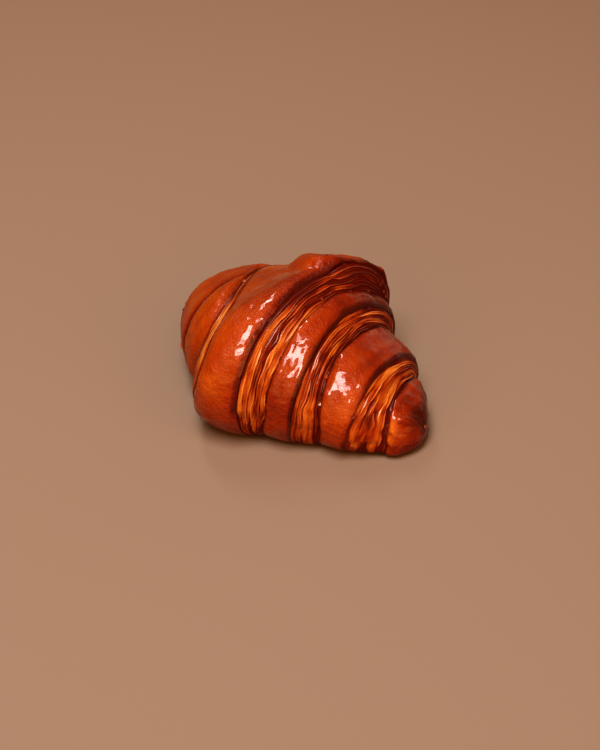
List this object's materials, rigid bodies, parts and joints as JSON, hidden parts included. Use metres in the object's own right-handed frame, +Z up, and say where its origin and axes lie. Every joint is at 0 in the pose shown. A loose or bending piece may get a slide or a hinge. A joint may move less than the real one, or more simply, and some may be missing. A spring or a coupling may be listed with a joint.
{
  "type": "croissant",
  "caption": "Plump butter croissant: laminated dough rolled into overlapping wraps and bent into a short crescent, baked brown and glossy, lying flat on its base.",
  "frame": {"origin": "middle of the bounding box's underside, on the surface the croissant rests on", "axes": "+X along the crescent's chord towards the tip whose wraps step down evenly, +Y towards the inner side of the bend, +Z up"},
  "size_m": [0.1458, 0.1098, 0.0643],
  "materials": {
    "baked_crust": "glossy egg-washed crust, golden layered cut edges"
  },
  "bodies": {
    "root": {"croissant": "baked_crust"}
  },
  "joints": []
}
